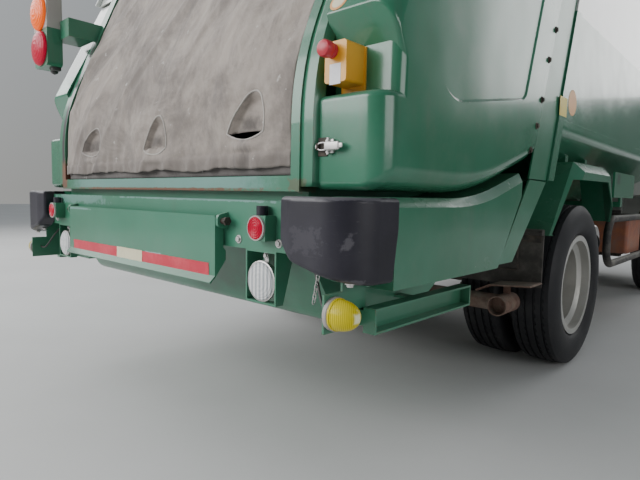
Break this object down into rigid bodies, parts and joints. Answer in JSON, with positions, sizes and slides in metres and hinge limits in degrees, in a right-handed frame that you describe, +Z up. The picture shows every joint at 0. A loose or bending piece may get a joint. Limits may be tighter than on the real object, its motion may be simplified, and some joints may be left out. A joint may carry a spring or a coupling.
{
  "type": "garbage truck",
  "caption": "Rear-loading garbage truck with wide cab, closed load body, lifting tailgate with hopper, canvas curtain, folding rear table and twin rear wheels.",
  "frame": {"origin": "on the ground below the middle of the truck", "axes": "+X is the truck's right, +Y is forward, +Z is up"},
  "size_m": [2.4, 5.72, 2.388],
  "materials": {
    "green_paint": "dark green gloss paint",
    "cream_paint": "cream gloss paint",
    "chassis_paint": "black chassis paint, dusty",
    "canvas": "worn taupe canvas",
    "bumper_rubber": "weathered black rubber",
    "flap_rubber": "dusty rubber",
    "tyre": "used tyre",
    "rim_paint": "silver wheel paint",
    "rust": "rusty iron",
    "cast": "dark cast iron",
    "glass": "clear glass",
    "lens": "coloured lamp lenses",
    "lamp_glass": "clear lamp lens",
    "yellow_plastic": "orange-yellow plastic",
    "red_plastic": "red plastic",
    "black_plastic": "black plastic",
    "seat_vinyl": "grey seat cloth",
    "silver": "silver tank",
    "chrome_rod": "chromed rod"
  },
  "bodies": {
    "chassis": {"frame_rails": "chassis_paint", "crossmembers": "chassis_paint", "body_ring": "green_paint", "body_front_wall": "green_paint", "body_sills": "chassis_paint", "leaf_springs": "cast", "rear_axle": "cast", "front_axle": "cast", "engine_block": "cast", "fuel_tank": "chassis_paint", "air_tank": "silver", "battery_box": "black_plastic", "exhaust": "rust", "side_guards": "chassis_paint", "rear_fenders": "green_paint", "mud_flaps": "flap_rubber", "body_floor": "green_paint", "body_sides": "green_paint", "body_roof_edges": "green_paint", "body_roof": "green_paint"},
    "tailgate": {"hopper_shell": "green_paint", "tailgate_side_right": "cream_paint", "tailgate_side_left": "cream_paint", "side_cover_right": "green_paint", "side_cover_left": "green_paint", "side_skirts": "green_paint", "rear_beam": "green_paint", "corner_bumpers": "bumper_rubber", "lamp_brackets": "green_paint", "rear_lenses": "lens", "tail_lamp_housings": "green_paint", "reversing_lamps": "lamp_glass", "stop_box": "yellow_plastic", "stop_button": "red_plastic", "canvas_curtain": "canvas"},
    "table": {"folding_table": "green_paint"},
    "lift_barrels": {"lift_barrels": "chassis_paint"},
    "lift_rods": {"lift_rods": "chrome_rod"},
    "cab": {"cab_shell": "cream_paint", "cab_glass": "glass", "cab_bumper": "black_plastic", "cab_grille": "black_plastic", "headlamps": "lamp_glass", "mirrors": "black_plastic", "seats": "seat_vinyl", "dashboard": "black_plastic"},
    "door_right": {"door_right": "cream_paint", "door_glass_right": "glass"},
    "door_left": {"door_left": "cream_paint", "door_glass_left": "glass"},
    "knuckle_right": {"knuckle_right": "cast"},
    "front_wheel_right": {"front_rim_right": "rim_paint", "front_tyre_right": "tyre"},
    "rear_wheel_right": {"rear_rims_right": "rim_paint", "rear_tyres_right": "tyre"},
    "knuckle_left": {"knuckle_left": "cast"},
    "front_wheel_left": {"front_rim_left": "rim_paint", "front_tyre_left": "tyre"},
    "rear_wheel_left": {"rear_rims_left": "rim_paint", "rear_tyres_left": "tyre"}
  },
  "joints": [
    {"name": "tailgate_lift", "type": "hinge", "parent": "chassis", "child": "tailgate", "pos_m": [0, -1.18401, 2.35], "axis": [-1, 0, 0], "range_deg": [0, 75]},
    {"name": "lift_barrel_turn", "type": "hinge", "parent": "chassis", "child": "lift_barrels", "pos_m": [0, -1.7, 1.106], "axis": [-1, 0, 0], "range_deg": [0, 8.69]},
    {"name": "lift_rod_slide", "type": "slide", "parent": "lift_barrels", "child": "lift_rods", "axis": [0, -0.0231, 0.9997], "range_m": [0, 0.656]},
    {"name": "table_fold", "type": "hinge", "parent": "tailgate", "child": "table", "pos_m": [0, -2.826, 0.716], "axis": [-1, 0, 0], "range_deg": [0, 90]},
    {"name": "cab_tilt", "type": "hinge", "parent": "chassis", "child": "cab", "pos_m": [0, 2.65, 0.6], "axis": [-1, 0, 0], "range_deg": [0, 45]},
    {"name": "door_right_swing", "type": "hinge", "parent": "cab", "child": "door_right", "pos_m": [1.011, 2.517, 1.127], "axis": [0, 0, 1], "range_deg": [0, 68]},
    {"name": "door_left_swing", "type": "hinge", "parent": "cab", "child": "door_left", "pos_m": [-1.011, 2.517, 1.127], "axis": [0, 0, -1], "range_deg": [0, 68]},
    {"name": "steer_right", "type": "hinge", "parent": "chassis", "child": "knuckle_right", "pos_m": [0.68, 1.75, 0.386], "axis": [0, 0, 1], "range_deg": [-35, 35]},
    {"name": "steer_left", "type": "hinge", "parent": "chassis", "child": "knuckle_left", "pos_m": [-0.68, 1.75, 0.386], "axis": [0, 0, 1], "range_deg": [-35, 35]},
    {"name": "front_wheel_right_spin", "type": "hinge", "parent": "knuckle_right", "child": "front_wheel_right", "pos_m": [0.812, 1.75, 0.386], "axis": [1, 0, 0], "continuous": true},
    {"name": "rear_wheel_right_spin", "type": "hinge", "parent": "chassis", "child": "rear_wheel_right", "pos_m": [0.74, -1.05, 0.386], "axis": [1, 0, 0], "continuous": true},
    {"name": "front_wheel_left_spin", "type": "hinge", "parent": "knuckle_left", "child": "front_wheel_left", "pos_m": [-0.812, 1.75, 0.386], "axis": [1, 0, 0], "continuous": true},
    {"name": "rear_wheel_left_spin", "type": "hinge", "parent": "chassis", "child": "rear_wheel_left", "pos_m": [-0.74, -1.05, 0.386], "axis": [1, 0, 0], "continuous": true}
  ],
  "couplings": [
    {"joint": "lift_barrel_turn", "follows": "tailgate_lift", "ratio": 0.11514},
    {"joint": "lift_rod_slide", "follows": "tailgate_lift", "m_per_rad": 0.50039},
    {"joint": "steer_left", "follows": "steer_right", "ratio": 1}
  ]
}
